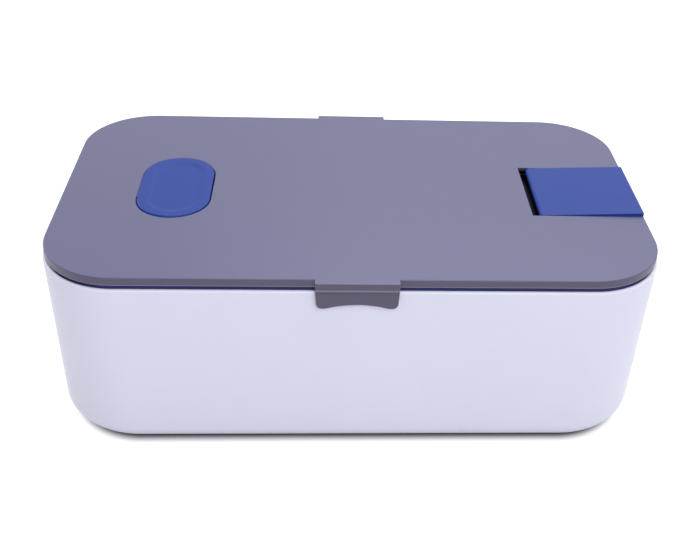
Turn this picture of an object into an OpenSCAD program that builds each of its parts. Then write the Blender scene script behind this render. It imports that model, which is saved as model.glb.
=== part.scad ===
// Slim rectangular electric lunch box with a clip-down lid, steam vent cap and fold-up stand flap.
// Millimetres, +Z up, +X to the right along the length, -Y to the front.
// The origin is under the middle of the box, on the surface that its feet stand on.

/* [Lid] */
// Length of the lid, left to right
lid_l = 240; // [200:1:280]
// Depth of the lid, front to back
lid_w = 138; // [120:1:160]
// Corner radius of the lid seen from above
lid_r = 30; // [26:1:40]
// Height of the lid's outer edge
lid_edge_h = 3.6; // [3.2:0.1:5]
// Thickness of the lid's top plate
lid_plate_t = 1.8; // [1.4:0.1:2.2]
// Thickness of the lid's outer edge wall
lid_skirt_t = 1.6; // [1.2:0.1:2]
// Rounding of the lid's top edge
lid_fillet = 0.5; // [0.4:0.1:1.2]
// Open gap between the body rim and the lid edge
lid_gap = 1.4; // [1:0.1:2]

/* [Body shell] */
// Height of the outer shell
shell_h = 75; // [68:1:90]
// How far the rim stands out past the lid edge on each side
rim_over = 0.75; // [0.4:0.05:1.5]
// How much each side of the shell draws in from rim to base
shell_draft = 1.4; // [0.8:0.1:3]
// Corner radius of the shell at its base
base_r = 34; // [30:1:40]
// Radius of the shell's bottom edge
bottom_edge_r = 8; // [5:0.5:10]
// Wall thickness of the shell
wall = 2.8; // [2.4:0.1:3.2]
// Thickness of the thin lip above the ledge
lip_t = 1.8; // [1.4:0.1:2]
// Depth of the ledge below the rim
lip_h = 5.7; // [5.2:0.1:7]
// Thickness of the ring that closes the shell's underside
ring_t = 4; // [3.6:0.2:6]
// Width of the finger notch in each end wall
notch_w = 48; // [36:1:56]
// Depth of the finger notch below the rim
notch_d = 4; // [3:0.1:4.1]
// Radius of the notch's lower corners
notch_r = 2; // [1:0.1:2.8]
// Radius that flares the notch's upper corners
notch_flare = 1.2; // [0.8:0.1:1.6]
// Rounding of the rim's outer and inner edges
rim_round = 0.85; // [0.4:0.05:0.9]

/* [Inner well and food tray] */
// Gap from the shell's lip to the well's flange
well_clear = 0.25; // [0.15:0.05:0.5]
// Thickness of the well's flange
well_flange_t = 1.6; // [1.2:0.1:2.4]
// Thickness of the well's wall and floor
well_t = 1.6; // [1.2:0.1:2]
// Width of the air gap between shell and well
air_gap = 2.4; // [1.6:0.1:3]
// Height of the tray's underside above the shell's underside
under_tray = 27; // [26:0.5:32]
// Sheet thickness of the food tray
tray_t = 0.7; // [0.5:0.1:1]
// How much each tray wall draws in towards its base
tray_draft = 3; // [1:0.5:5]
// Radius where the tray's wall meets its base
tray_edge_r = 7; // [4:0.5:9]
// Gap between the tray's wall and the well
tray_clear = 0.9; // [0.5:0.1:2]
// Width of the tray's flange
tray_flange_w = 4.6; // [3.6:0.1:5]

/* [Heating parts] */
// Thickness of the heating plate's flange
plate_flange_t = 2; // [1.6:0.1:3]
// Width of the heating plate's flange outside its raised face
plate_flange_w = 5; // [4:0.5:7]
// Distance from the tray's wall to the raised face of the plate
plate_inset = 14; // [10:1:24]
// Length of one heating element
heater_l = 58; // [40:1:62]
// Depth of one heating element
heater_w = 24; // [16:1:28]
// Thickness of one heating element
heater_t = 6; // [5:0.5:7]
// Thickness of the clamp bar
clamp_t = 1.2; // [0.8:0.1:2]
// Width of the clamp bar
clamp_w = 12; // [10:1:16]
// Radius of the thermostat's cap
stat_r = 8; // [6:0.5:9]
// Height of the thermostat's cap
stat_cap_h = 4.2; // [3.5:0.1:5]
// Height of the thermostat's moulded base
stat_base_h = 4.5; // [3.5:0.1:5]
// Width of the thermostat's mounting ears
stat_ear_w = 7; // [6.5:0.1:8]
// Distance from the thermostat's cap to each of its screws
stat_ear_out = 4.6; // [4.2:0.1:5.5]
// Spacing of the thermostat's two blade terminals
blade_pitch = 8; // [6:0.2:9]
// Width of a blade terminal
blade_w = 4.8; // [4:0.1:6.3]
// Thickness of a blade terminal
blade_t = 0.8; // [0.5:0.1:1]
// How far a blade terminal stands out of the thermostat's base
blade_out = 3.5; // [3:0.1:5]
// Radius of the thermal fuse in its sleeve
fuse_r = 2.2; // [1.8:0.1:2.6]
// Length of the thermal fuse in its sleeve
fuse_l = 22; // [16:1:30]
// Radius of an insulated inner lead
lead_r = 0.9; // [0.7:0.1:1.2]
// Thickness of the heat shield
shield_t = 0.8; // [0.5:0.1:1.2]
// Height of the heat shield above the bottom cover
shield_lift = 3.4; // [2.5:0.1:4]

/* [Inlet and lamp] */
// Distance from the lid's right end to the middle of the power inlet
inlet_in = 50; // [45:1:60]
// Height of the power inlet above the shell's underside
inlet_up = 12.5; // [12:0.5:14]
// Width of the power inlet's face
inlet_w = 17; // [16.5:0.1:19]
// Height of the power inlet's face
inlet_h = 10; // [9.6:0.1:12]
// Depth of the power inlet's socket
inlet_depth = 9; // [7:0.5:10]
// Spacing of the inlet's two contact pins
pin_pitch = 8.6; // [8:0.1:9]
// Radius of an inlet contact pin
pin_r = 1.2; // [1:0.05:1.3]
// How far a contact pin stands out behind the inlet
pin_tail = 4.5; // [4:0.1:6]
// Thickness of the inlet's flange
inlet_flange_t = 2; // [1.6:0.1:2.4]
// Thickness of the inlet's back wall
inlet_back_t = 2.5; // [2:0.1:3.5]
// Distance from the inlet's side to each of its screws
inlet_ear_out = 4; // [3.8:0.1:5]
// Thickness of the flat frame inside the rear wall
frame_t = 3; // [2:0.1:4]
// Distance from the inlet to the pilot lamp
lamp_dx = 25; // [23:1:30]
// Radius of the pilot lamp's lens
lamp_r = 2.5; // [2:0.1:3]

/* [Bottom cover, feet and screws] */
// Distance from the shell's base outline to the bottom cover
cover_inset = 15; // [13:0.5:20]
// Thickness of the bottom cover
cover_t = 2.2; // [1.8:0.1:2.8]
// Width of the ledge that the bottom cover seats on
cover_ledge = 5; // [4:0.5:7]
// Radius of a rubber foot
foot_r = 6.5; // [5:0.5:8]
// How far a foot stands out below the base
foot_out = 1; // [0.6:0.1:2]
// How deep a foot is set into the cover
foot_set = 0.8; // [0.4:0.1:1]
// Radius of a screw's shank
screw_r = 1.5; // [1.2:0.1:1.7]
// Length of a screw under its head
screw_l = 7; // [6:0.5:8]
// Clearance around a screw's shank where it passes through
screw_clear = 0.2; // [0.1:0.05:0.3]
// Radius of a screw's head
screw_head_r = 2.8; // [2.5:0.1:3.2]
// Height of a screw's head
screw_head_h = 1.4; // [1.2:0.1:1.8]

/* [Latches] */
// Width of a latch flap
latch_w = 31.4; // [24:0.2:40]
// Overall drop of a latch flap below its hinge
latch_drop = 7.8; // [7.6:0.1:10]
// Thickness of a latch flap
latch_t = 1.2; // [1:0.1:1.5]
// How far the hinge block stands out from the lid
latch_out = 2.7; // [2.5:0.1:3.5]
// Rise of the concave cut in the flap's lower edge
latch_scoop = 2; // [1:0.1:3]
// Corner radius of a latch flap
latch_r = 2.6; // [1.5:0.1:3]
// Inward slant of each side of a latch flap over its height
latch_slant = 0.4; // [0:0.1:0.8]
// Radius of the hinge bead
bead_r = 0.5; // [0.4:0.05:0.6]
// Height of the catch rib on the shell
catch_h = 1.2; // [0.8:0.1:1.6]

/* [Vent cap] */
// Distance from the lid's left end to the middle of the vent cap
vent_in = 45.6; // [40:0.1:60]
// Width of the vent cap, left to right
vent_w = 29.5; // [24:0.5:34]
// Length of the vent cap, front to back
vent_l = 50.5; // [40:0.5:60]
// Thickness of the vent cap
vent_t = 2.4; // [2:0.1:2.6]
// How far the vent cap stands above the lid
vent_proud = 0.4; // [0.2:0.1:0.8]
// Depth of the vent cap's dished top
vent_dish = 0.35; // [0.2:0.05:0.6]
// Width of the finger gap beside the vent cap
vent_gap = 0.6; // [0.4:0.1:1.5]
// Radius of the steam hole
steam_r = 1.5; // [1:0.1:2]

/* [Stand flap] */
// Length of the flap's pocket from the lid's right edge
pocket_l = 46.7; // [40:0.1:56]
// Width of the flap's pocket
pocket_w = 41.8; // [30:0.1:46]
// Width of the finger gap at the flap's inner end
finger_gap = 3.4; // [2.5:0.1:5]
// Side clearance of the flap in its pocket
flap_clear = 0.35; // [0.25:0.05:0.6]
// Thickness of the flap at its inner end
flap_t = 2.4; // [2:0.1:2.5]
// How far the flap's outer end stands above the lid
flap_proud = 1.4; // [0.8:0.1:1.8]
// Radius of the flap's hinge barrel
barrel_r = 1.8; // [1.6:0.05:1.9]
// Radius of the flap's hinge pin
hinge_pin_r = 0.9; // [0.7:0.05:1]

/* [Seal and lid liner] */
// Height of the lid seal
seal_h = 4.3; // [3.8:0.1:4.4]
// Width of the lid seal
seal_w = 3.8; // [3:0.1:4.2]
// How far the seal's face is set back from the lid edge
seal_back = 2; // [1.8:0.1:2.6]
// Thickness of the lid liner
liner_t = 1.2; // [1:0.1:1.6]

/* [Hidden] */
$fn = 64;

white = [0.86, 0.86, 0.93];
grey = [0.51, 0.50, 0.61];
blue = [0.30, 0.37, 0.67];
steel = [0.78, 0.78, 0.80];

over = 0.01;
touch = 0.05;

// Heights, worked up from the feet
base_z = foot_out;
rim_z = base_z + shell_h;
skirt_z = rim_z + lid_gap;
lid_z = skirt_z + lid_edge_h;
plate_z = lid_z - lid_plate_t;
ledge_z = rim_z - lip_h;
well_top_z = ledge_z + well_flange_t;
tray_top_z = well_top_z + tray_t;
tray_base_z = base_z + under_tray;
seal_top_z = skirt_z - 0.3;
seal_z = seal_top_z - seal_h;
liner_z = seal_z + 1.4;
liner_top_z = liner_z + liner_t;
seal_groove = 1.65;

// Plan sizes of the shell at its rim and its base
rim_l = lid_l + 2 * rim_over;
rim_w = lid_w + 2 * rim_over;
rim_r = lid_r + rim_over;
base_l = rim_l - 2 * shell_draft;
base_w = rim_w - 2 * shell_draft;
function draft_at(z) = shell_draft * (rim_z - z) / shell_h;

// Plan sizes of the well and the tray
flange_l = rim_l - 2 * (lip_t + well_clear);
flange_w = rim_w - 2 * (lip_t + well_clear);
flange_r = rim_r - lip_t - well_clear;
well_off = shell_draft + wall + air_gap;
well_l = rim_l - 2 * well_off;
well_w = rim_w - 2 * well_off;
well_r = rim_r - well_off;
tray_off = well_off + well_t + tray_clear;
tray_l = rim_l - 2 * tray_off;
tray_w = rim_w - 2 * tray_off;
tray_r = rim_r - tray_off;

// Heating plate and the parts that hang below it
face_l = tray_l - 2 * (tray_draft + plate_inset);
face_w = tray_w - 2 * (tray_draft + plate_inset);
face_r = 10;
face_clear = 0.2;
tray_gap = 2;
well_floor_z = tray_base_z - tray_gap - well_t;
plate_top_z = tray_base_z;
plate_low_z = well_floor_z - plate_flange_t;
post_r = 3.6;
heater_x = 6 + heater_l / 2;
clamp_post_x = [-(2 * heater_x), 0, 2 * heater_x];
heater_z = plate_low_z - heater_t;
tab_y = clamp_w / 2 + 2;
heater_tab_r = 0.8;
stat_y = heater_w / 2 + stat_r + 3;
stat_ear = stat_r + stat_ear_out;
stat_z = plate_low_z - stat_cap_h;
sheet_t = 0.8;
blade_low_z = stat_z - stat_base_h - blade_out;
fuse_y = -(heater_w / 2 + fuse_r + 4);
fuse_z = plate_low_z - fuse_r - touch;
clip_x = fuse_l / 2;
clip_y = fuse_y - fuse_r - 4;
clip_z = heater_z + 2;
well_boss_r = 3;
well_boss_h = 1.7;
plate_screw_x = face_l / 2 - face_r;
plate_screw_y = face_w / 2 + plate_flange_w / 2;

// Bottom cover and its screws
cover_l = base_l - 2 * cover_inset;
cover_w = base_w - 2 * cover_inset;
cover_r = base_r - cover_inset;
cover_clear = 0.25;
head_set = 0.2;
cover_top_z = base_z + cover_t;
boss_r = 3.8;
boss_top_z = cover_top_z + screw_l + 1.5;
boss_in = screw_head_r + 1.8;
boss_x = cover_l / 2 - cover_r + (cover_r - boss_in) * cos(45);
boss_y = cover_w / 2 - cover_r + (cover_r - boss_in) * sin(45);
foot_x = boss_x - foot_r - 8;
foot_y = boss_y - foot_r - 1;
shield_z = cover_top_z + shield_lift;
shield_l = 2 * foot_x - 8;
shield_w = 2 * foot_y + 12;
shield_post_in = 11;
stake_r = 1.2;

// Inlet and lamp, seated on one flat frame inside the rear wall
inlet_x = lid_l / 2 - inlet_in;
inlet_z = base_z + inlet_up;
inlet_clear = 0.15;
inlet_r = 2;
inlet_wall = 1.5;
rear_y = rim_w / 2 - draft_at(inlet_z);
frame_in_y = rear_y - wall - frame_t;
inlet_ear = inlet_w / 2 + inlet_ear_out;
frame_x0 = inlet_x - lamp_dx - lamp_r - 3.5;
frame_x1 = inlet_x + inlet_ear + 4;
inlet_face_y = rear_y - 0.3;
inlet_tail_y = inlet_face_y - inlet_depth - inlet_back_t - pin_tail;
lamp_x = inlet_x - lamp_dx;
lamp_tail_y = frame_in_y - 10;
lamp_leg_x = 1.27;
lamp_leg_r = 0.3;

// Latch hinge lines
hinge_y = lid_w / 2 + latch_out - bead_r;
hinge_z = skirt_z - 0.1;
bead_clear = 0.15;
latch_out_y = hinge_y + bead_r;
latch_in_y = latch_out_y - latch_t;
latch_low_z = hinge_z - latch_drop;
catch_z = latch_low_z + 2.3;
wall_y = rim_w / 2 - draft_at(catch_z);
catch_y = latch_in_y - 0.2;
hook_y = wall_y + 0.35;
hook_top_z = catch_z - 0.3;
hook_h = 1;
hook_x0 = latch_w * 0.3;
hook_x1 = latch_w / 2 - latch_r - latch_slant;

// Vent and stand flap
vent_x = vent_in - lid_l / 2;
vent_clear = 0.3;
vent_floor_z = lid_z - 3;
vent_axis_x = vent_x - vent_w / 2 - 0.15;
vent_axis_z = lid_z;
vent_bead_r = 0.35;
edge_break = 0.3;
vent_bead_l = vent_l - vent_w - 1;
plug_r1 = steam_r + 0.1;
plug_r2 = steam_r + 1.1;
plug_low_z = vent_floor_z - 1.4;
spigot_r = 1.5;
spigot_h = 1.2;
floor_t = 1;
pocket_x = lid_l / 2 - pocket_l;
pocket_floor_z = seal_top_z + 0.1 + floor_t;
flap_w = pocket_w - 2 * flap_clear;
flap_out_x = lid_l / 2 + 0.15;
flap_axis_x = lid_l / 2 - barrel_r;
flap_axis_z = lid_z - 1.5;
flap_in_x = pocket_x + finger_gap;
flap_low_z = lid_z - flap_t;
finger_room = 5;
pin_seat = 2.2;
rib_t = 1.2;

// A rectangle with round corners, made of squares and true circles
module round_rect(l, w, r) {
    square([l - 2 * r, w], center = true);
    square([l, w - 2 * r], center = true);
    for (x = [-1, 1], y = [-1, 1]) translate([x * (l / 2 - r), y * (w / 2 - r)]) circle(r);
}

module round_slab(l, w, r, z, h) {
    translate([0, 0, z]) linear_extrude(h) round_rect(l, w, r);
}

// A hollow frame of the same form, open through the middle
module round_frame(l, w, r, t, z, h) {
    difference() {
        round_slab(l, w, r, z, h);
        round_slab(l - 2 * t, w - 2 * t, max(r - t, 0.5), z - over, h + 2 * over);
    }
}

// Sweeps a profile around a rounded rectangle; x in the profile is the distance
// from the corner centres, so x = r is the outline itself
module sweep_round(l, w, r) {
    for (q = [0:3]) {
        a = (q % 2 == 0 ? l : w) / 2 - r;
        b = (q % 2 == 0 ? w : l) / 2 - r;
        rotate([0, 0, 90 * q]) translate([a, b, 0]) {
            rotate([90, 0, 0]) linear_extrude(2 * b) children();
            rotate_extrude(angle = 90) children();
        }
    }
}

// A stadium lying front to back
module stadium(w, l) {
    square([w, l - w], center = true);
    for (y = [-1, 1]) translate([0, y * (l - w) / 2]) circle(w / 2);
}

// Points of an arc for profiles
function arc(cx, cy, r, a0, a1, n = 8) =
    [for (i = [0:n]) let (a = a0 + (a1 - a0) * i / n) [cx + r * cos(a), cy + r * sin(a)]];

// Places a child at four mirrored corners
module at_corners(x, y) {
    for (i = [-1, 1], j = [-1, 1]) translate([i * x, j * y, 0]) children();
}

// One thin level of the shell's outer form, drawn in by its draft and an inset
module shell_level(z, inset) {
    t = (rim_z - z) / shell_h;
    r = rim_r + (base_r - rim_r) * t - inset;
    d = 2 * (shell_draft * t + inset);
    round_slab(rim_l - d, rim_w - d, r, z, over, $fn = 88);
}

module shell_form() {
    hull() {
        for (a = [0:22.5:90]) {
            shell_level(rim_z - over - rim_round * (1 - cos(a)), rim_round * (1 - sin(a)));
        }
        for (a = [0:15:90]) {
            shell_level(base_z + bottom_edge_r * (1 - sin(a)), bottom_edge_r * (1 - cos(a)));
        }
    }
}

module shell_cavity() {
    bevel = 3;
    hull() {
        shell_level(base_z + ring_t, wall + bevel);
        shell_level(base_z + ring_t + bevel, wall);
        shell_level(ledge_z, wall);
        shell_level(rim_z + 1, wall);
    }
}

// Cutter that rounds the rim's inner edge
module rim_edge_cut() {
    r = rim_r - lip_t;
    sweep_round(rim_l - 2 * lip_t, rim_w - 2 * lip_t, r) polygon(concat(
        [[r - over, rim_z - rim_round]],
        arc(r + rim_round, rim_z - rim_round, rim_round, 180, 90),
        [[r + rim_round, rim_z + 1], [r - over, rim_z + 1]]
    ));
}

// Finger notch profile, with soft lower corners and flared upper corners
module notch_profile() {
    r = notch_r;
    f = notch_flare;
    translate([-notch_w / 2 + r, -notch_d]) square([notch_w - 2 * r, notch_d + 1]);
    translate([-notch_w / 2, -notch_d + r]) square([notch_w, notch_d + 1 - r]);
    for (s = [-1, 1]) translate([s * (notch_w / 2 - r), -notch_d + r]) circle(r);
    for (s = [-1, 1]) {
        difference() {
            translate([s * notch_w / 2 - f, -f]) square([2 * f, f + 1]);
            translate([s * (notch_w / 2 + f), -f]) circle(f);
        }
    }
}

// White outer tub with a drawn-in wall, thin lip, end notches and an open underside
module base_shell() {
    color(white) difference() {
        union() {
            difference() {
                shell_form();
                shell_cavity();
                round_slab(rim_l - 2 * lip_t, rim_w - 2 * lip_t, rim_r - lip_t, ledge_z, lip_h + 1);
                round_slab(cover_l - 2 * cover_ledge, cover_w - 2 * cover_ledge,
                    cover_r - cover_ledge, base_z - 1, ring_t + 4);
            }
            at_corners(boss_x, boss_y) translate([0, 0, base_z + 1]) {
                cylinder(r = boss_r, h = boss_top_z - base_z - 1);
            }
            inlet_frame();
            for (s = [-1, 1]) catch_ribs(s);
        }
        rim_edge_cut();
        round_slab(cover_l, cover_w, cover_r, base_z - 1, cover_t + 1);
        at_corners(boss_x, boss_y) translate([0, 0, base_z]) {
            cylinder(r = screw_r + touch, h = boss_top_z - base_z - 1);
        }
        for (s = [-1, 1]) translate([s * rim_l / 2, 0, rim_z]) {
            rotate([90, 0, 90]) linear_extrude(4 * wall, center = true) notch_profile();
        }
        inlet_cuts();
    }
}

// Flat frame inside the rear wall for the inlet and the lamp
module inlet_frame() {
    low = base_z + ring_t - 1;
    translate([frame_x0, frame_in_y, low]) {
        cube([frame_x1 - frame_x0, frame_t + 1, inlet_z + inlet_h / 2 + 3 - low]);
    }
}

module inlet_cuts() {
    deep = wall + frame_t + 6;
    translate([inlet_x, rear_y + 3, inlet_z]) rotate([90, 0, 0]) {
        linear_extrude(deep) round_rect(inlet_w + 2 * inlet_clear, inlet_h + 2 * inlet_clear,
            inlet_r + inlet_clear);
    }
    for (s = [-1, 1]) translate([inlet_x + s * inlet_ear, frame_in_y - 1, inlet_z]) {
        rotate([-90, 0, 0]) cylinder(r = screw_r + touch, h = screw_l - inlet_flange_t + 1.3);
    }
    translate([lamp_x, rear_y + 3, inlet_z]) rotate([90, 0, 0]) cylinder(r = lamp_r + touch, h = deep);
}

// Two short ribs that a latch hooks under
module catch_ribs(side) {
    for (x = [-1, 1]) translate([x * (hook_x0 + hook_x1) / 2, side * (catch_y + wall_y - 1) / 2, 0]) {
        translate([0, 0, catch_z + catch_h / 2]) {
            cube([hook_x1 - hook_x0 + 1, catch_y - wall_y + 1, catch_h], center = true);
        }
    }
}

// Places a child at the heating plate's six screws
module at_plate_screws(z) {
    for (x = [-1, 0, 1], y = [-1, 1]) translate([x * plate_screw_x, y * plate_screw_y, z]) children();
}

// Inner tub that carries the food tray and keeps its heat off the shell
module inner_well() {
    wall_h = well_top_z - well_floor_z;
    boss_h = well_t + well_boss_h;
    color([0.80, 0.81, 0.87]) difference() {
        union() {
            round_slab(flange_l, flange_w, flange_r, ledge_z, well_flange_t);
            round_slab(well_l, well_w, well_r, well_floor_z, wall_h);
        }
        difference() {
            round_slab(well_l - 2 * well_t, well_w - 2 * well_t, well_r - well_t,
                well_floor_z + well_t, wall_h);
            at_plate_screws(well_floor_z) cylinder(r = well_boss_r, h = boss_h);
        }
        round_slab(face_l + 2 * face_clear, face_w + 2 * face_clear, face_r + face_clear,
            well_floor_z - 1, boss_h + 2);
        at_plate_screws(well_floor_z - 1) cylinder(r = screw_r + touch, h = boss_h);
    }
}

// Pressed stainless tray with a flat flange and drawn-in walls
module food_tray() {
    h = tray_top_z - tray_base_z;
    c = tray_edge_r;
    t = tray_t;
    lean = tray_draft / h;
    top = tray_r;
    low = tray_r - tray_draft;
    rolled = tray_flange_w;
    color(steel) {
        round_slab(tray_l - 2 * (tray_draft + c), tray_w - 2 * (tray_draft + c), low - c, tray_base_z, t);
        sweep_round(tray_l, tray_w, tray_r) polygon(concat(
            [[low - c - 1, tray_base_z]],
            arc(low - c, tray_base_z + c, c, 270, 360),
            [[top - t * lean, tray_top_z - t], [top + rolled, tray_top_z - t], [top + rolled, tray_top_z]],
            [[top - t, tray_top_z]],
            arc(low - c, tray_base_z + c, c - t, 360, 270),
            [[low - c - 1, tray_base_z + t]]
        ));
    }
}

// Cast plate whose raised face stands under the food tray
module heating_plate() {
    stat_post_r = post_r - 0.6;
    tap_r = screw_r + touch;
    tap_h = screw_l + 1;
    color([0.72, 0.73, 0.75]) difference() {
        union() {
            round_slab(face_l, face_w, face_r, plate_low_z, plate_top_z - plate_low_z);
            round_slab(face_l + 2 * plate_flange_w, face_w + 2 * plate_flange_w,
                face_r + plate_flange_w, plate_low_z, plate_flange_t);
            for (x = clamp_post_x) translate([x, 0, heater_z]) cylinder(r = post_r, h = heater_t + 1);
            for (s = [-1, 1]) translate([s * stat_ear, stat_y, stat_z]) {
                cylinder(r = stat_post_r, h = stat_cap_h + 1);
            }
            translate([clip_x, clip_y, clip_z]) cylinder(r = stat_post_r, h = plate_low_z - clip_z + 1);
        }
        at_plate_screws(plate_low_z - 1) cylinder(r = screw_r + screw_clear, h = plate_flange_t + 2);
        for (x = clamp_post_x) translate([x, 0, heater_z - 1]) cylinder(r = tap_r, h = tap_h);
        for (s = [-1, 1]) translate([s * stat_ear, stat_y, stat_z - 1]) cylinder(r = tap_r, h = tap_h);
        translate([clip_x, clip_y, clip_z - 1]) cylinder(r = tap_r, h = tap_h);
    }
}

// Two flat heating elements in ribbed metal cases
module heating_elements() {
    rib_pitch = 1.2;
    groove = 0.5;
    first = clamp_w / 2 + 1.4;
    color([0.62, 0.63, 0.66]) for (s = [-1, 1]) translate([s * heater_x, 0, heater_z]) {
        difference() {
            translate([-heater_l / 2, -heater_w / 2, 0]) cube([heater_l, heater_w, heater_t]);
            for (y = [-1, 1], k = [0:3]) {
                translate([0, y * (first + k * rib_pitch), 0]) {
                    cube([heater_l + 2, groove, 2 * groove], center = true);
                }
            }
        }
        for (y = [-1, 1]) translate([-s * (heater_l / 2 - 2), y * tab_y, heater_t / 2]) {
            rotate([0, -s * 90, 0]) cylinder(r = heater_tab_r, h = 4);
        }
    }
}

// Sprung bar that presses both elements against the plate
module heater_clamp() {
    z = heater_z - clamp_t;
    color(steel) difference() {
        translate([0, 0, z]) linear_extrude(clamp_t) {
            stadium_across(2 * clamp_post_x[2] + clamp_w, clamp_w);
        }
        for (x = clamp_post_x) translate([x, 0, z - 1]) {
            cylinder(r = screw_r + screw_clear, h = clamp_t + 2);
        }
    }
}

module stadium_across(l, w) {
    rotate(90) stadium(w, l);
}

// Snap-disc thermostat with a flange, ears and two blade terminals
module thermostat() {
    translate([0, stat_y, 0]) {
        color(steel) {
            translate([0, 0, stat_z]) cylinder(r = stat_r, h = stat_cap_h);
            difference() {
                translate([0, 0, stat_z - sheet_t]) linear_extrude(sheet_t) {
                    stadium_across(2 * stat_ear + stat_ear_w, stat_ear_w);
                }
                for (s = [-1, 1]) translate([s * stat_ear, 0, stat_z - 2]) {
                    cylinder(r = screw_r + screw_clear, h = 4);
                }
            }
        }
        color([0.20, 0.17, 0.16]) translate([0, 0, stat_z - stat_base_h]) {
            cylinder(r = stat_r - sheet_t, h = stat_base_h);
        }
        color("goldenrod") for (s = [-1, 1]) {
            translate([s * blade_pitch / 2, 0, blade_low_z + (blade_out + over) / 2]) {
                cube([blade_t, blade_w, blade_out + over], center = true);
            }
        }
    }
}

// One-shot thermal fuse in a woven sleeve
module thermal_fuse() {
    color([0.92, 0.90, 0.82]) translate([0, fuse_y, fuse_z]) rotate([0, 90, 0]) {
        cylinder(r = fuse_r, h = fuse_l, center = true);
    }
}

// P-clip that holds the fuse sleeve against the plate
module fuse_clip() {
    t = sheet_t;
    loop_w = 4;
    x0 = clip_x - loop_w - 1;
    color(steel) difference() {
        union() {
            translate([x0, clip_y - stat_ear_w / 2, clip_z - t]) {
                cube([2 * loop_w, fuse_y - clip_y + stat_ear_w / 2 + 1, t]);
            }
            translate([x0, fuse_y, fuse_z]) rotate([0, 90, 0]) cylinder(r = fuse_r + t, h = loop_w);
            translate([x0, fuse_y - fuse_r - t, clip_z - t]) cube([loop_w, 2 * t, fuse_z - clip_z + t]);
        }
        translate([x0 - 1, fuse_y, fuse_z]) rotate([0, 90, 0]) cylinder(r = fuse_r + over, h = 3 * loop_w);
        translate([x0 - 1, fuse_y - 10, plate_low_z - touch]) cube([3 * loop_w, 20, 5]);
        translate([clip_x, clip_y, clip_z - 3]) cylinder(r = screw_r + screw_clear, h = 6);
    }
}

// Pan-head screw that points up, with its head's seat at z = 0
module screw(length) {
    slot_w = 0.6;
    slot_d = 0.9;
    slot_l = 1.15 * screw_head_r;
    difference() {
        union() {
            cylinder(r = screw_r, h = length);
            translate([0, 0, -screw_head_h]) cylinder(r = screw_head_r, h = screw_head_h);
        }
        for (a = [0, 90]) rotate(a) translate([0, 0, -screw_head_h]) {
            cube([slot_l, slot_w, 2 * slot_d], center = true);
        }
    }
}

// Screws of one size: cover, clamp bar, thermostat, fuse clip and inlet
module case_screws() {
    color(steel) {
        at_corners(boss_x, boss_y) translate([0, 0, base_z + head_set + screw_head_h]) screw(screw_l);
        for (x = clamp_post_x) translate([x, 0, heater_z - clamp_t]) screw(screw_l);
        for (s = [-1, 1]) translate([s * stat_ear, stat_y, stat_z - sheet_t]) screw(screw_l);
        translate([clip_x, clip_y, clip_z - sheet_t]) screw(screw_l);
        for (s = [-1, 1]) translate([inlet_x + s * inlet_ear, frame_in_y - inlet_flange_t, inlet_z]) {
            rotate([-90, 0, 0]) screw(screw_l);
        }
    }
}

// Short screws that hold the heating plate up against the well's floor
module plate_screws() {
    color(steel) at_plate_screws(plate_low_z) screw(plate_flange_t + well_t + 0.6);
}

// Points of a smooth path along a route, from its first point to its last
function smooth_path(p, n = 5) =
    let (q = concat([2 * p[0] - p[1]], p, [2 * p[len(p) - 1] - p[len(p) - 2]]))
    concat([for (i = [0:len(p) - 2], k = [0:n - 1]) let (t = k / n, t2 = t * t, t3 = t2 * t)
        (q[i] * (1 - 3 * t + 3 * t2 - t3) + q[i + 1] * (4 - 6 * t2 + 3 * t3)
            + q[i + 2] * (1 + 3 * t + 3 * t2 - 3 * t3) + q[i + 3] * t3) / 6], [p[len(p) - 1]]);

function unit(v) = v / norm(v);

// Side direction at step i of a path, carried along without any twist
function carried(ways, i) = i == 0
    ? unit(cross(ways[0], [1, 2, 3]))
    : let (u = carried(ways, i - 1)) unit(u - (u * ways[i]) * ways[i]);

// Tube of 8 sides swept along a route
module lead(route) {
    sides = 8;
    p = smooth_path(route);
    last = len(p) - 1;
    ends = len(route) - 1;
    ways = [for (i = [0:last]) unit(
        i == 0 ? route[1] - route[0] :
        i == last ? route[ends] - route[ends - 1] : p[i + 1] - p[i - 1]
    )];
    rings = [for (i = [0:last]) let (u = carried(ways, i), v = cross(ways[i], u))
        for (k = [0:sides - 1]) p[i] + lead_r * (u * cos(360 * k / sides) + v * sin(360 * k / sides))];
    walls = [for (i = [0:last - 1], k = [0:sides - 1]) let (m = (k + 1) % sides)
        for (f = [[i * sides + k, (i + 1) * sides + m, i * sides + m],
            [i * sides + k, (i + 1) * sides + k, (i + 1) * sides + m]]) f];
    caps = [[for (k = [0:sides - 1]) k], [for (k = [sides - 1:-1:0]) last * sides + k]];
    polyhedron(rings, concat(walls, caps));
}

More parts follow.
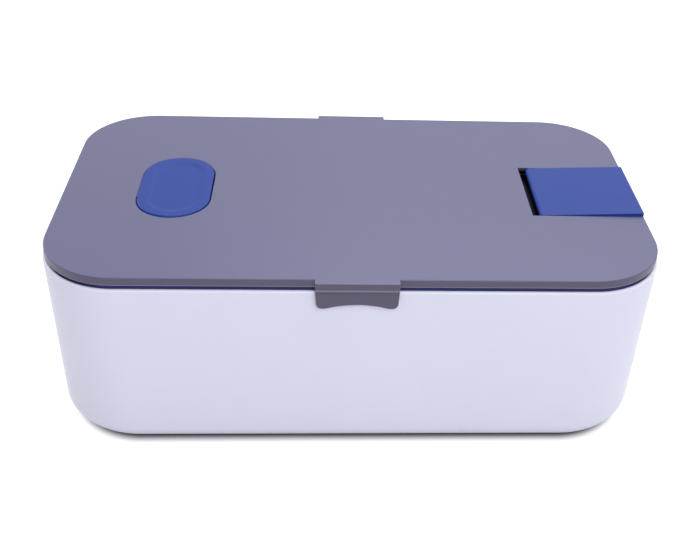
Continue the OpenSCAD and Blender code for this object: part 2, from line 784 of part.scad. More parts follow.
// Leads from the inlet through the thermostat and the fuse to both elements, and to the lamp
module inner_leads() {
    run_z = blade_low_z - lead_r - touch;
    pin_end = inlet_tail_y - touch;
    lamp_end = lamp_tail_y - touch;
    left_pin = inlet_x - pin_pitch / 2;
    right_pin = inlet_x + pin_pitch / 2;
    tab_z = heater_z + heater_t / 2;
    tab_low_z = tab_z - heater_tab_r - touch;
    tab_x = heater_x - heater_l / 2 - 1;
    tab_end = tab_x - 1 - touch;
    fuse_end = fuse_l / 2 + touch;
    color([0.75, 0.20, 0.18]) {
        // Inlet to thermostat
        lead([
            [left_pin, pin_end, inlet_z], [left_pin, pin_end - 6, inlet_z],
            [left_pin - 10, pin_end - 14, run_z], [stat_ear + 10, stat_y + 10, run_z],
            [stat_r, stat_y, run_z], [1, stat_y, run_z]
        ]);
        // Thermostat to fuse, round the end of the left element
        lead([
            [-1, stat_y, run_z], [-stat_r, stat_y, run_z], [-fuse_end - 14, stat_y - 10, run_z],
            [-fuse_end - 14, fuse_y + 6, run_z], [-fuse_end - 9, fuse_y, fuse_z],
            [-fuse_end, fuse_y, fuse_z]
        ]);
        // Fuse to the elements' front tabs
        lead([
            [fuse_end, fuse_y, fuse_z], [fuse_end + 8, fuse_y, fuse_z], [fuse_end + 4, fuse_y, run_z],
            [tab_x, -tab_y, run_z], [tab_x, -tab_y, tab_low_z]
        ]);
        // Rear tabs back to the inlet
        lead([
            [tab_x, tab_y, tab_low_z], [tab_x, tab_y, run_z], [tab_x + 14, tab_y + 2, run_z],
            [right_pin, pin_end - 18, run_z], [right_pin, pin_end - 8, inlet_z],
            [right_pin, pin_end, inlet_z]
        ]);
        // Links between the two elements
        for (y = [-tab_y, tab_y]) lead([[-tab_end, y, tab_z], [0, y, tab_z], [tab_end, y, tab_z]]);
        // Lamp, in parallel with the inlet's two pins
        lead([
            [lamp_x - lamp_leg_x, lamp_end, inlet_z], [lamp_x - lamp_leg_x, lamp_end - 4, inlet_z + 2],
            [lamp_x + 8, lamp_end - 6, inlet_z + 3], [left_pin - 8, pin_end + 2, inlet_z],
            [left_pin - pin_r - touch, pin_end + 2, inlet_z]
        ]);
        lead([
            [lamp_x + lamp_leg_x, lamp_end, inlet_z], [lamp_x + lamp_leg_x, lamp_end - 3, inlet_z - 2],
            [lamp_x + 10, lamp_end - 1, run_z], [left_pin, pin_end + 3, run_z],
            [right_pin, pin_end + 3, run_z], [right_pin, pin_end + 3, inlet_z - pin_r - touch]
        ]);
    }
}

// Places a child at the six posts that carry the heat shield
module at_shield_posts(z) {
    for (x = [-1, 0, 1], y = [-1, 1]) {
        translate([x * (shield_l / 2 - shield_post_in), y * (shield_w / 2 - shield_post_in), z]) children();
    }
}

// Sheet metal shield between the heating parts and the bottom cover
module heat_shield() {
    color([0.75, 0.75, 0.76]) difference() {
        round_slab(shield_l, shield_w, 6, shield_z, shield_t);
        at_shield_posts(shield_z - 1) cylinder(r = stake_r + 0.1, h = shield_t + 2);
    }
}

// Two-pin socket with a flange and two screwed ears, set in the rear wall
module power_inlet() {
    color([0.13, 0.13, 0.15]) difference() {
        union() {
            translate([inlet_x, inlet_face_y, inlet_z]) rotate([90, 0, 0]) {
                linear_extrude(inlet_depth + inlet_back_t) round_rect(inlet_w, inlet_h, inlet_r);
            }
            translate([inlet_x, frame_in_y, inlet_z]) rotate([90, 0, 0]) {
                linear_extrude(inlet_flange_t) stadium_across(2 * inlet_ear + 7, inlet_h - 2);
            }
        }
        translate([inlet_x, inlet_face_y + 1, inlet_z]) rotate([90, 0, 0]) linear_extrude(inlet_depth + 1) {
            stadium_across(inlet_w - 2 * inlet_wall, inlet_h - 2 * inlet_wall);
        }
        for (s = [-1, 1]) translate([inlet_x + s * pin_pitch / 2, inlet_face_y, inlet_z]) {
            rotate([90, 0, 0]) cylinder(r = pin_r + touch, h = inlet_depth + inlet_back_t + 1);
        }
        for (s = [-1, 1]) translate([inlet_x + s * inlet_ear, frame_in_y + 1, inlet_z]) {
            rotate([90, 0, 0]) cylinder(r = screw_r + screw_clear, h = inlet_flange_t + 2);
        }
    }
}

// Two round contact pins that run through to the leads
module inlet_pins() {
    tip = 0.5;
    straight = inlet_depth + inlet_back_t + pin_tail - 3 * tip;
    color("goldenrod") for (s = [-1, 1]) translate([inlet_x + s * pin_pitch / 2, inlet_tail_y, inlet_z]) {
        rotate([-90, 0, 0]) {
            cylinder(r = pin_r, h = straight);
            translate([0, 0, straight]) cylinder(r1 = pin_r, r2 = pin_r - tip, h = tip);
        }
    }
}

// Pilot lamp with a domed lens, a flange and two legs
module pilot_lamp() {
    dome_r = 1.6 * lamp_r;
    collar = 1;
    body = 3;
    lens_h = wall + frame_t - 0.6;
    color([0.95, 0.55, 0.25]) translate([lamp_x, frame_in_y, inlet_z]) rotate([-90, 0, 0]) {
        cylinder(r = lamp_r, h = lens_h);
        translate([0, 0, lens_h]) intersection() {
            translate([0, 0, 0.4 * lamp_r - dome_r]) sphere(r = dome_r);
            cylinder(r = lamp_r, h = lamp_r);
        }
        translate([0, 0, -collar]) cylinder(r = lamp_r + 0.9, h = collar);
        translate([0, 0, -body]) cylinder(r = lamp_r, h = body - over);
        for (s = [-1, 1]) translate([s * lamp_leg_x, 0, lamp_tail_y - frame_in_y]) {
            cylinder(r = lamp_leg_r, h = frame_in_y - body - lamp_tail_y + 1);
        }
    }
}

// Ribbed plate that closes the underside
module bottom_cover() {
    rib_h = 2;
    ribs = 5;
    color(white) difference() {
        union() {
            round_slab(cover_l - 2 * cover_clear, cover_w - 2 * cover_clear, cover_r - cover_clear,
                base_z, cover_t);
            for (k = [0:ribs - 1]) {
                translate([(k - (ribs - 1) / 2) * shield_l / ribs, 0, cover_top_z + rib_h / 2 - over]) {
                    cube([rib_t, shield_w, rib_h], center = true);
                }
            }
            for (y = [-1, 1]) translate([0, y * shield_w / 4, cover_top_z + rib_h / 2 - over]) {
                cube([shield_l, rib_t, rib_h], center = true);
            }
            at_shield_posts(cover_top_z - over) {
                cylinder(r = stake_r + 1.4, h = shield_lift + over);
                cylinder(r = stake_r, h = shield_lift + shield_t + 0.6);
            }
        }
        at_corners(boss_x, boss_y) translate([0, 0, base_z - 1]) {
            cylinder(r = screw_head_r + 0.3, h = 1 + head_set + screw_head_h);
            cylinder(r = screw_r + screw_clear, h = cover_t + 2);
        }
        at_corners(foot_x, foot_y) translate([0, 0, base_z - 1]) {
            cylinder(r = foot_r + touch, h = 1 + foot_set);
        }
    }
}

// Four round rubber feet pressed into the cover
module rubber_feet() {
    chamfer = 0.5;
    color([0.25, 0.25, 0.28]) at_corners(foot_x, foot_y) {
        cylinder(r1 = foot_r - chamfer, r2 = foot_r, h = chamfer);
        translate([0, 0, chamfer]) cylinder(r = foot_r, h = foot_out + foot_set - chamfer);
    }
}

// Front outline of a latch flap: slanted sides, round lower corners and a concave lower edge
module latch_outline() {
    half = latch_w / 2;
    foot = half - latch_slant;
    corner_z = latch_low_z + latch_r;
    scoop_half = foot - latch_r;
    scoop_r = (scoop_half * scoop_half + latch_scoop * latch_scoop) / (2 * latch_scoop);
    difference() {
        union() {
            polygon([
                [-half, hinge_z + bead_r], [half, hinge_z + bead_r], [foot, corner_z], [-foot, corner_z]
            ]);
            for (s = [-1, 1]) translate([s * (foot - latch_r), corner_z]) circle(latch_r);
            translate([-scoop_half, latch_low_z]) square([2 * scoop_half, latch_r + 1]);
        }
        translate([0, latch_low_z + latch_scoop - scoop_r]) circle(scoop_r, $fn = 128);
    }
}

// Latch flap at the rear side: hinge bead, thin neck, plate and two inner hooks
module latch_form() {
    lip_round = 0.5;
    rotate([90, 0, 0]) translate([0, 0, -latch_out_y - 1]) intersection() {
        linear_extrude(latch_t + 2) latch_outline();
        translate([0, 0, latch_out_y + 1]) rotate([-90, 0, 0]) rotate([90, 0, 90]) {
            linear_extrude(latch_w + 2, center = true) polygon(concat(
                [[latch_in_y, hinge_z - 0.2], [latch_in_y, latch_low_z - 1]],
                arc(latch_out_y - lip_round, latch_low_z + lip_round, lip_round, 270, 360),
                [[latch_out_y, hinge_z - 3 * bead_r], [hinge_y, hinge_z - 0.9 * bead_r]],
                [[hinge_y, hinge_z - 0.2]]
            ));
        }
    }
    translate([0, hinge_y, hinge_z]) rotate([0, 90, 0]) cylinder(r = bead_r, h = latch_w, center = true);
    for (s = [-1, 1]) {
        translate([s * (hook_x0 + hook_x1) / 2, (hook_y + latch_in_y) / 2, hook_top_z - hook_h / 2]) {
            cube([hook_x1 - hook_x0, latch_in_y - hook_y + 0.4, hook_h], center = true);
        }
    }
}

module rear_latch() {
    color(grey) latch_form();
}

module front_latch() {
    color(grey) mirror([0, 1, 0]) latch_form();
}

// Block on the lid's edge that the latch's bead turns in, with its top edge broken
module hinge_block() {
    half = latch_w / 2;
    out = lid_w / 2 + latch_out;
    cut = 0.3;
    difference() {
        translate([0, 0, skirt_z]) linear_extrude(lid_edge_h) polygon([
            [-half, lid_w / 2 - 1], [-half, out - cut], [-half + cut, out],
            [half - cut, out], [half, out - cut], [half, lid_w / 2 - 1]
        ]);
        translate([0, out, lid_z]) rotate([45, 0, 0]) {
            cube([latch_w + 1, 1.4 * cut, 1.4 * cut], center = true);
        }
    }
}

// Outline of the recess that the vent cap lies in, with its finger gap on the right
module vent_recess_outline(grow) {
    w = vent_w + 2 * (vent_clear + grow);
    translate([vent_x, 0]) {
        stadium(w, vent_l + 2 * (vent_clear + grow));
        translate([0, -(vent_l - vent_w) / 2 - grow]) {
            square([vent_w / 2 + vent_gap + grow, vent_l - vent_w + 2 * grow]);
        }
    }
}

// Grey lid cover: rounded plate, outer edge wall, inner collar, flap pocket and vent recess
module lid_shell() {
    f = lid_fillet;
    band = 7;
    r = lid_r;
    collar_inset = seal_back + seal_w + 0.3;
    color(grey) difference() {
        union() {
            round_slab(lid_l - 2 * band, lid_w - 2 * band, r - band, plate_z, lid_plate_t);
            sweep_round(lid_l, lid_w, r) polygon(concat(
                [[r - band, plate_z], [r - lid_skirt_t, plate_z], [r - lid_skirt_t, skirt_z]],
                [[r - 0.3, skirt_z], [r, skirt_z + 0.3]],
                arc(r - f, lid_z - f, f, 0, 90),
                [[r - band, lid_z]]
            ));
            round_frame(lid_l - 2 * collar_inset, lid_w - 2 * collar_inset, r - collar_inset,
                1.4, liner_top_z, plate_z - liner_top_z + over);
            hinge_block();
            mirror([0, 1, 0]) hinge_block();
            translate([0, 0, vent_floor_z - floor_t]) {
                linear_extrude(plate_z - vent_floor_z + floor_t + over) vent_recess_outline(rib_t);
            }
            translate([vent_x, 0, liner_top_z]) cylinder(r = 4, h = vent_floor_z - liner_top_z);
            pocket_box();
        }
        translate([0, 0, vent_floor_z]) linear_extrude(5) vent_recess_outline(0);
        translate([vent_x, 0, 0]) stadium_turn(vent_w, vent_l) polygon([
            [0, lid_z - edge_break], [vent_w / 2 + vent_clear, lid_z - edge_break],
            [vent_w / 2 + vent_clear + edge_break + over, lid_z + over], [0, lid_z + over]
        ]);
        translate([vent_x, 0, liner_top_z - 1]) cylinder(r = steam_r, h = 5);
        translate([vent_x, 0, plug_low_z - 0.2]) cylinder(r1 = plug_r1 + 0.2, r2 = plug_r2 + 0.3,
            h = vent_floor_z - plug_low_z + 0.2 + over);
        translate([vent_axis_x, 0, vent_axis_z]) rotate([90, 0, 0]) {
            cylinder(r = vent_bead_r + 0.1, h = vent_bead_l + 0.5, center = true);
        }
        translate([pocket_x, -pocket_w / 2, pocket_floor_z]) cube([pocket_l + 5, pocket_w, 10]);
        translate([pocket_x, -pocket_w / 2, liner_top_z + floor_t]) {
            cube([flap_in_x + finger_room - pocket_x, pocket_w, 10]);
        }
        translate([flap_axis_x - barrel_r - 0.5, -pocket_w / 2, skirt_z - 2]) cube([10, pocket_w, 10]);
        translate([flap_axis_x, 0, flap_axis_z]) rotate([90, 0, 0]) {
            cylinder(r = hinge_pin_r + 0.02, h = pocket_w + 2 * pin_seat, center = true);
        }
        for (s = [-1, 1]) translate([0, s * hinge_y, hinge_z]) rotate([0, 90, 0]) {
            cylinder(r = bead_r + bead_clear, h = latch_w + 2, center = true);
        }
    }
}

// Walls and floors under the flap's pocket and its finger well
module pocket_box() {
    side = pin_seat + 0.6;
    low = pocket_floor_z - floor_t;
    translate([pocket_x - rib_t, -pocket_w / 2 - side, low]) {
        cube([pocket_l + rib_t - lid_skirt_t / 2, pocket_w + 2 * side, plate_z - low + over]);
    }
    translate([pocket_x - rib_t, -pocket_w / 2 - side, liner_top_z]) {
        cube([
            flap_in_x + finger_room - pocket_x + 2 * rib_t, pocket_w + 2 * side,
            plate_z - liner_top_z + over
        ]);
    }
}

// Flat inner panel of the lid with the steam hole
module lid_liner() {
    inset = seal_back + seal_groove + touch;
    color([0.80, 0.81, 0.87]) difference() {
        round_slab(lid_l - 2 * inset, lid_w - 2 * inset, lid_r - inset, liner_z, liner_t);
        translate([vent_x, 0, liner_z - 1]) cylinder(r = steam_r, h = liner_t + 2);
    }
}

// Silicone ring that grips the liner's edge and presses on the tray's flange
module lid_seal() {
    r = lid_r - seal_back;
    color(blue) sweep_round(lid_l - 2 * seal_back, lid_w - 2 * seal_back, r) polygon([
        [r - seal_w, seal_z], [r - 0.5, seal_z], [r, seal_z + 0.6], [r, seal_top_z],
        [r - seal_w, seal_top_z], [r - seal_w, liner_top_z], [r - seal_groove, liner_top_z],
        [r - seal_groove, liner_z], [r - seal_w, liner_z]
    ]);
}

// Steel pin that the stand flap turns on
module stand_pin() {
    color(steel) translate([flap_axis_x, 0, flap_axis_z]) rotate([90, 0, 0]) {
        cylinder(r = hinge_pin_r, h = pocket_w + 2 * pin_seat - 0.4, center = true);
    }
}

// Blue flap: flush at its inner end, thicker at its barrel, cored out below
module stand_flap() {
    top_r = 1.3;
    in_r = 1.8;
    out_r = 0.8;
    out_top = lid_z + flap_proud;
    color(blue) difference() {
        intersection() {
            rotate([90, 0, 0]) linear_extrude(flap_w, center = true) {
                polygon(concat(
                    [[flap_in_x + 0.3, flap_low_z], [flap_axis_x, flap_low_z], [flap_axis_x, flap_axis_z]],
                    [[flap_axis_x + barrel_r, flap_axis_z + 0.3], [flap_out_x, flap_axis_z + 0.4]],
                    arc(flap_out_x - 0.5, out_top - 0.5, 0.5, 0, 90),
                    arc(flap_in_x + top_r, lid_z - top_r, top_r, 90, 180),
                    [[flap_in_x, flap_low_z + 0.3]]
                ));
                translate([flap_axis_x, flap_axis_z]) circle(barrel_r);
            }
            translate([(flap_in_x + flap_out_x) / 2, 0, flap_low_z - 5]) linear_extrude(15) intersection() {
                translate([5, 0]) round_rect(flap_out_x - flap_in_x + 10, flap_w, in_r);
                translate([-5, 0]) round_rect(flap_out_x - flap_in_x + 10, flap_w, out_r);
            }
        }
        translate([flap_axis_x, 0, flap_axis_z]) rotate([90, 0, 0]) {
            cylinder(r = hinge_pin_r + 0.06, h = pocket_w + 2, center = true);
        }
        flap_cells();
    }
}

// Six shallow cells that core out the flap's underside and leave its ribs
module flap_cells() {
    border = 2.2;
    first_x = flap_in_x + border;
    last_x = flap_axis_x - barrel_r - border;
    cell_l = (last_x - first_x - 2 * rib_t) / 3;
    cell_w = (flap_w - 2 * border - rib_t) / 2;
    for (i = [0:2], s = [-1, 1]) {
        translate([first_x + cell_l / 2 + i * (cell_l + rib_t), s * (cell_w + rib_t) / 2, flap_low_z]) {
            cube([cell_l, cell_w, 2 * (flap_t - 1.3)], center = true);
        }
    }
}

// Turns a half profile into a stadium-shaped solid
module stadium_turn(w, l) {
    for (a = [0, 180]) rotate(a) translate([0, (l - w) / 2, 0]) rotate_extrude(angle = 180) children();
    rotate([90, 0, 0]) linear_extrude(l - w, center = true) {
        children();
        mirror([1, 0]) children();
    }
}

// Blue cap over the steam hole: dished top, rounded edge and a bead along its left side
module vent_cap() {
    half = vent_w / 2;
    top = lid_z + vent_proud;
    low = top - vent_t;
    color(blue) difference() {
        union() {
            translate([vent_x, 0, 0]) stadium_turn(vent_w, vent_l) polygon(concat(
                [[0, low], [half - 0.3, low], [half, low + 0.3]],
                arc(half - 0.6, top - 0.6, 0.6, 0, 90),
                [for (i = [0:8]) [half - 3.2 - 0.4 * i, top - vent_dish * (1 - cos(22.5 * i)) / 2]],
                [[0, top - vent_dish]]
            ));
            translate([vent_axis_x, 0, vent_axis_z]) rotate([90, 0, 0]) {
                cylinder(r = vent_bead_r, h = vent_bead_l, center = true);
            }
        }
        translate([vent_x, 0, low - 1]) cylinder(r = spigot_r + touch, h = 1 + spigot_h + 0.1);
    }
}

// Silicone plug pressed into the vent cap
module vent_plug() {
    low = lid_z + vent_proud - vent_t;
    neck_z = vent_floor_z + 0.2;
    color([0.93, 0.93, 0.95]) translate([vent_x, 0, 0]) {
        translate([0, 0, plug_low_z]) cylinder(r1 = plug_r1, r2 = plug_r2, h = neck_z - plug_low_z);
        translate([0, 0, neck_z]) cylinder(r = plug_r2 + 0.8, h = low - neck_z);
        translate([0, 0, low - over]) cylinder(r = spigot_r, h = spigot_h);
    }
}

base_shell();
inner_well();
food_tray();
heating_plate();
heating_elements();
heater_clamp();
thermostat();
thermal_fuse();
fuse_clip();
inner_leads();
heat_shield();
power_inlet();
inlet_pins();
pilot_lamp();
bottom_cover();
rubber_feet();
case_screws();
plate_screws();
rear_latch();
lid_shell();
lid_liner();
lid_seal();
stand_pin();
stand_flap();
vent_cap();
vent_plug();
front_latch();
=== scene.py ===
import math

import bmesh
import bpy
from mathutils import Matrix, Vector


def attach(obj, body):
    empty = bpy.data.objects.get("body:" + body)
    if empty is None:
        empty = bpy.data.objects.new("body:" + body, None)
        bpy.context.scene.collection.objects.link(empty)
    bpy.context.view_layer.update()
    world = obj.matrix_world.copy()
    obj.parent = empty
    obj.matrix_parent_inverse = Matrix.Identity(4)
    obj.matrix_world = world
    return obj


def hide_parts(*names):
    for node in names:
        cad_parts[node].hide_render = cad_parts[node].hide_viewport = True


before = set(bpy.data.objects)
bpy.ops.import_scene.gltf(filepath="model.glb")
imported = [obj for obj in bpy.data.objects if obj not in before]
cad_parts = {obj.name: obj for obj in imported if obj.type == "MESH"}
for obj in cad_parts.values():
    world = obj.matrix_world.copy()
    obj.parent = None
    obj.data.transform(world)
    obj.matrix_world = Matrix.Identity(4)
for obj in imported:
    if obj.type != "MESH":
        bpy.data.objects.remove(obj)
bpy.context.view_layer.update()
mm = 0.001
print("lunch box: frame loaded")

# Camera, lights and floor

view = {
    "place": (-13.2, -392.4, 299.7),  # mm, from under the middle of the box
    "pitch": 31.0,                    # degrees below the horizon
    "yaw": -4.58,
    "roll": -2.96,
    "lens": 54.38,
    "sensor": 36,
    "shift": (-0.0643, -0.0786),
    "clip": (0.01, 20),               # m
}

studio = {
    "skyStrength": 0.46,
    "aim": (0, 0, 0.05),
    "lights": {
        "topLight": {"at": (0.2, 0.5, 1.05), "size": 0.9, "power": 7.3, "color": (0.88, 0.91, 1.0)},
        "frontLight": {"at": (0.2, -0.98, 0.9), "size": 0.7, "power": 7.9, "color": (0.955, 0.955, 1.0)},
        "leftLight": {"at": (-0.9, 0.75, 0.5), "size": 0.4, "power": 2.7, "color": (0.9, 0.91, 1.0)},
        "rightLight": {"at": (1.1, 0.1, 0.45), "size": 0.4, "power": 0.7, "color": (0.94, 0.94, 1.0)},
    },
    "floorSize": 8,
    "floorRoughness": 0.9,
    "floorPaintedShadowAndColor": ((0.17, 0.17, 0.18), (0.55, 0.55, 0.56)),  # painted contact shadow under the box's edge, and the floor's own colour away from it
    "floorLift": (0.0, 0.72),        # glow at the same two places, which keeps the floor pale
    "liftReach": (0.0006, 0.0066),   # m, from the outline of the box's base
    "liftCore": (0.085, 0.036),      # m, half sizes of that outline's straight part
    "liftRound": 0.026,              # m, radius of its corners
}


def linkObject(name, data):
    made = bpy.data.objects.new(name, data)
    bpy.context.scene.collection.objects.link(made)
    return made


def makeCamera(v):
    pitch, yaw, roll = (math.radians(v[k]) for k in ("pitch", "yaw", "roll"))
    turn = Matrix.Rotation(yaw, 3, "Z")
    forward = turn @ Vector((0, math.cos(pitch), -math.sin(pitch)))
    right = turn @ Vector((1, 0, 0))
    down = forward.cross(right)
    right, down = (
        right * math.cos(roll) + down * math.sin(roll),
        down * math.cos(roll) - right * math.sin(roll),
    )
    data = bpy.data.cameras.new("camera")
    data.lens = v["lens"]
    data.sensor_width = v["sensor"]
    data.shift_x, data.shift_y = v["shift"]
    data.clip_start, data.clip_end = v["clip"]
    camera = linkObject("camera", data)
    camera.matrix_world = Matrix.LocRotScale(
        Vector(v["place"]) * mm,
        Matrix((right, -down, -forward)).transposed().to_quaternion(),
        None,
    )
    bpy.context.scene.camera = camera


def makeLight(name, spec, aim):
    data = bpy.data.lights.new(name, "AREA")
    data.size = spec["size"]
    data.energy = spec["power"]
    data.color = spec["color"]
    light = linkObject(name, data)
    light.location = spec["at"]
    light.rotation_mode = "QUATERNION"
    light.rotation_quaternion = (Vector(aim) - Vector(spec["at"])).to_track_quat("-Z", "Y")


def newMaterial(name):
    made = bpy.data.materials.new(name)
    made.use_nodes = True
    return made, made.node_tree, made.node_tree.nodes["Principled BSDF"]


def coordinate(tree, kind="Object"):
    return tree.nodes.new("ShaderNodeTexCoord").outputs[kind]


def axesOf(tree, vector):
    n = tree.nodes.new("ShaderNodeSeparateXYZ")
    tree.links.new(vector, n.inputs["Vector"])
    return n.outputs


def addMath(tree, kind, a, b=None):
    n = tree.nodes.new("ShaderNodeMath")
    n.operation = kind
    for i, v in enumerate((a, b)):
        if v is None:
            continue
        if isinstance(v, (int, float)):
            n.inputs[i].default_value = v
        else:
            tree.links.new(v, n.inputs[i])
    return n.outputs[0]


def mixColor(tree, factor, low, high):
    n = tree.nodes.new("ShaderNodeMix")
    n.data_type = "RGBA"
    tree.links.new(factor, n.inputs["Factor"])
    for socket, value in ((n.inputs["A"], low), (n.inputs["B"], high)):
        if isinstance(value, tuple):
            socket.default_value = (*value, 1)
        else:
            tree.links.new(value, socket)
    return n.outputs["Result"]


def mapRange(tree, value, low, high, toLow, toHigh, kind="LINEAR"):
    n = tree.nodes.new("ShaderNodeMapRange")
    n.interpolation_type = kind
    tree.links.new(value, n.inputs["Value"])
    for label, v in (("From Min", low), ("From Max", high), ("To Min", toLow), ("To Max", toHigh)):
        n.inputs[label].default_value = v
    return n.outputs["Result"]


def seenWhite(tree):
    # 1 where the camera looks straight, through glass or by a mirror reflection
    path = tree.nodes.new("ShaderNodeLightPath")
    both = addMath(tree, "MAXIMUM", path.outputs["Is Camera Ray"], path.outputs["Is Glossy Ray"])
    return addMath(tree, "MAXIMUM", both, path.outputs["Is Transmission Ray"])


def makeSky(s):
    world = bpy.data.worlds.new("studio")
    bpy.context.scene.world = world
    world.use_nodes = True
    tree = world.node_tree
    back = tree.nodes["Background"]
    back.inputs["Color"].default_value = (1, 1, 1, 1)
    lift = addMath(tree, "MULTIPLY", seenWhite(tree), 1 - s["skyStrength"])
    tree.links.new(addMath(tree, "ADD", lift, s["skyStrength"]), back.inputs["Strength"])


def makeFloor(s):
    bpy.ops.mesh.primitive_plane_add(size=s["floorSize"])
    floor = bpy.context.object
    floor.name = "floor"
    paint, tree, shader = newMaterial("paleFloor")
    shader.inputs["Roughness"].default_value = s["floorRoughness"]
    shader.inputs["Specular IOR Level"].default_value = 0.0
    shader.inputs["Emission Color"].default_value = (1, 1, 1, 1)
    axes = axesOf(tree, coordinate(tree))
    past = []
    for i, half in enumerate(s["liftCore"]):
        over = addMath(tree, "SUBTRACT", addMath(tree, "ABSOLUTE", axes[i]), half)
        past.append(addMath(tree, "MAXIMUM", over, 0.0))
    squares = [addMath(tree, "POWER", v, 2.0) for v in past]
    far = addMath(tree, "SQRT", addMath(tree, "ADD", *squares))
    low, high = (s["liftRound"] + reach for reach in s["liftReach"])
    grow = mapRange(tree, far, low, high, 0.0, 1.0, "SMOOTHSTEP")
    lift = mapRange(tree, grow, 0, 1, *s["floorLift"])
    tree.links.new(addMath(tree, "MULTIPLY", seenWhite(tree), lift), shader.inputs["Emission Strength"])
    # the dark colour near the box is a painted contact shadow
    tree.links.new(mixColor(tree, grow, *s["floorPaintedShadowAndColor"]), shader.inputs["Base Color"])
    floor.data.materials.append(paint)


makeCamera(view)
makeSky(studio)
for lightName, lightSpec in studio["lights"].items():
    makeLight(lightName, lightSpec, studio["aim"])
makeFloor(studio)
bpy.context.scene.view_settings.view_transform = "Standard"
print("lunch box: camera and studio made")

# Shared finishes, as node groups


def newGroup(name, ins, outs):
    group = bpy.data.node_groups.new(name, "ShaderNodeTree")
    for label, value in ins.items():
        socket = group.interface.new_socket(label, in_out="INPUT", socket_type="NodeSocketFloat")
        socket.default_value = value
    for label in outs:
        group.interface.new_socket(label, in_out="OUTPUT", socket_type="NodeSocketFloat")
    return group, group.nodes.new("NodeGroupInput"), group.nodes.new("NodeGroupOutput")


def useGroup(tree, group, values):
    n = tree.nodes.new("ShaderNodeGroup")
    n.node_tree = group
    for label, value in values.items():
        n.inputs[label].default_value = value
    return n.outputs


def noise(tree, vector, scale, detail, rough=0.55):
    n = tree.nodes.new("ShaderNodeTexNoise")
    n.inputs["Detail"].default_value = detail
    n.inputs["Roughness"].default_value = rough
    if isinstance(scale, (int, float)):
        n.inputs["Scale"].default_value = scale
    else:
        tree.links.new(scale, n.inputs["Scale"])
    tree.links.new(vector, n.inputs["Vector"])
    return n.outputs["Fac"]


moulding = {
    "inputs": {"Grain Scale": 900.0, "Wave Scale": 18.0},
    "grainDetail": 2.0,
    "waveDetail": 1.0,
    "tone": (35.0, 4.0),         # scale, detail
    "rub": (60.0, 6.0, 0.7),     # scale, detail, roughness of the noise
    "rubRange": (0.45, 0.7),
}


def makeMouldedSurface(m):
    # Fine grain of moulded plastic, slow unevenness, and faint rubbed patches
    group, ins, outs = newGroup("mouldedSurface", m["inputs"], ("Height", "Tone", "Rub"))
    place = coordinate(group)
    grain = noise(group, place, ins.outputs["Grain Scale"], m["grainDetail"])
    wave = noise(group, place, ins.outputs["Wave Scale"], m["waveDetail"])
    group.links.new(addMath(group, "ADD", grain, wave), outs.inputs["Height"])
    group.links.new(noise(group, place, *m["tone"]), outs.inputs["Tone"])
    rub = noise(group, place, *m["rub"])
    group.links.new(mapRange(group, rub, *m["rubRange"], 0.0, 1.0), outs.inputs["Rub"])
    return group


drawing = {
    "inputs": {"Line Scale": 400.0, "Stretch": 0.04, "Wave Scale": 12.0},
    "lines": (4.0, 0.6),         # detail, roughness of the noise
    "waveDetail": 1.0,
    "marks": (45.0, 6.0, 0.7),   # scale, detail, roughness of the noise
    "marksRange": (0.5, 0.75),
}


def makeMetalSurface(m):
    # Fine lines along one axis, a slow waviness, and handling marks
    group, ins, outs = newGroup("metalSurface", m["inputs"], ("Lines", "Wave", "Marks"))
    place = coordinate(group)
    axes = axesOf(group, place)
    squeezed = group.nodes.new("ShaderNodeCombineXYZ")
    short = addMath(group, "MULTIPLY", axes["X"], ins.outputs["Stretch"])
    for label, value in (("X", short), ("Y", axes["Y"]), ("Z", axes["Z"])):
        group.links.new(value, squeezed.inputs[label])
    lines = noise(group, squeezed.outputs["Vector"], ins.outputs["Line Scale"], *m["lines"])
    group.links.new(lines, outs.inputs["Lines"])
    wave = noise(group, place, ins.outputs["Wave Scale"], m["waveDetail"])
    group.links.new(wave, outs.inputs["Wave"])
    marks = noise(group, place, *m["marks"])
    group.links.new(mapRange(group, marks, *m["marksRange"], 0.0, 1.0), outs.inputs["Marks"])
    return group


mouldedSurface = makeMouldedSurface(moulding)
metalSurface = makeMetalSurface(drawing)


def shaded(rgb, k):
    return tuple(min(1.0, c * k) for c in rgb)


def spreadColor(tree, factor, rgb, spread):
    # The colour a little darker to a little lighter
    return mixColor(tree, factor, shaded(rgb, 1 - spread), shaded(rgb, 1 + spread))


def addBump(tree, shader, height, strength, distance):
    n = tree.nodes.new("ShaderNodeBump")
    n.inputs["Strength"].default_value = strength
    n.inputs["Distance"].default_value = distance
    tree.links.new(height, n.inputs["Height"])
    tree.links.new(n.outputs["Normal"], shader.inputs["Normal"])


def zoneMask(tree, zone):
    # 1 inside a box given in mm, with soft sides
    axes = axesOf(tree, coordinate(tree))
    mask = None
    for axis, span in zip("XYZ", zone["box"]):
        if span is None:
            continue
        low, high = span
        offset = addMath(tree, "SUBTRACT", axes[axis], (low + high) / 2 * mm)
        away = addMath(tree, "ABSOLUTE", offset)
        half = (high - low) / 2 * mm
        part = mapRange(tree, away, half - zone["soft"] * mm, half, 1.0, 0.0)
        mask = part if mask is None else addMath(tree, "MULTIPLY", mask, part)
    return addMath(tree, "MULTIPLY", mask, zone["weight"])


plasticLook = {
    "surface": {},
    "spread": 0.02,
    "upRange": (0.3, 0.95),      # how far up a surface faces, for the change from the walls' painted shade to the lighter top colour
    "zones": (),
    "depth": 0.0,
    "depthRadius": (0.9, 0.9, 1.0),
    "depthScale": 0.002,
    "specular": 0.5,
    "bump": 0.25,
    "bumpDistance": 0.00004,
}


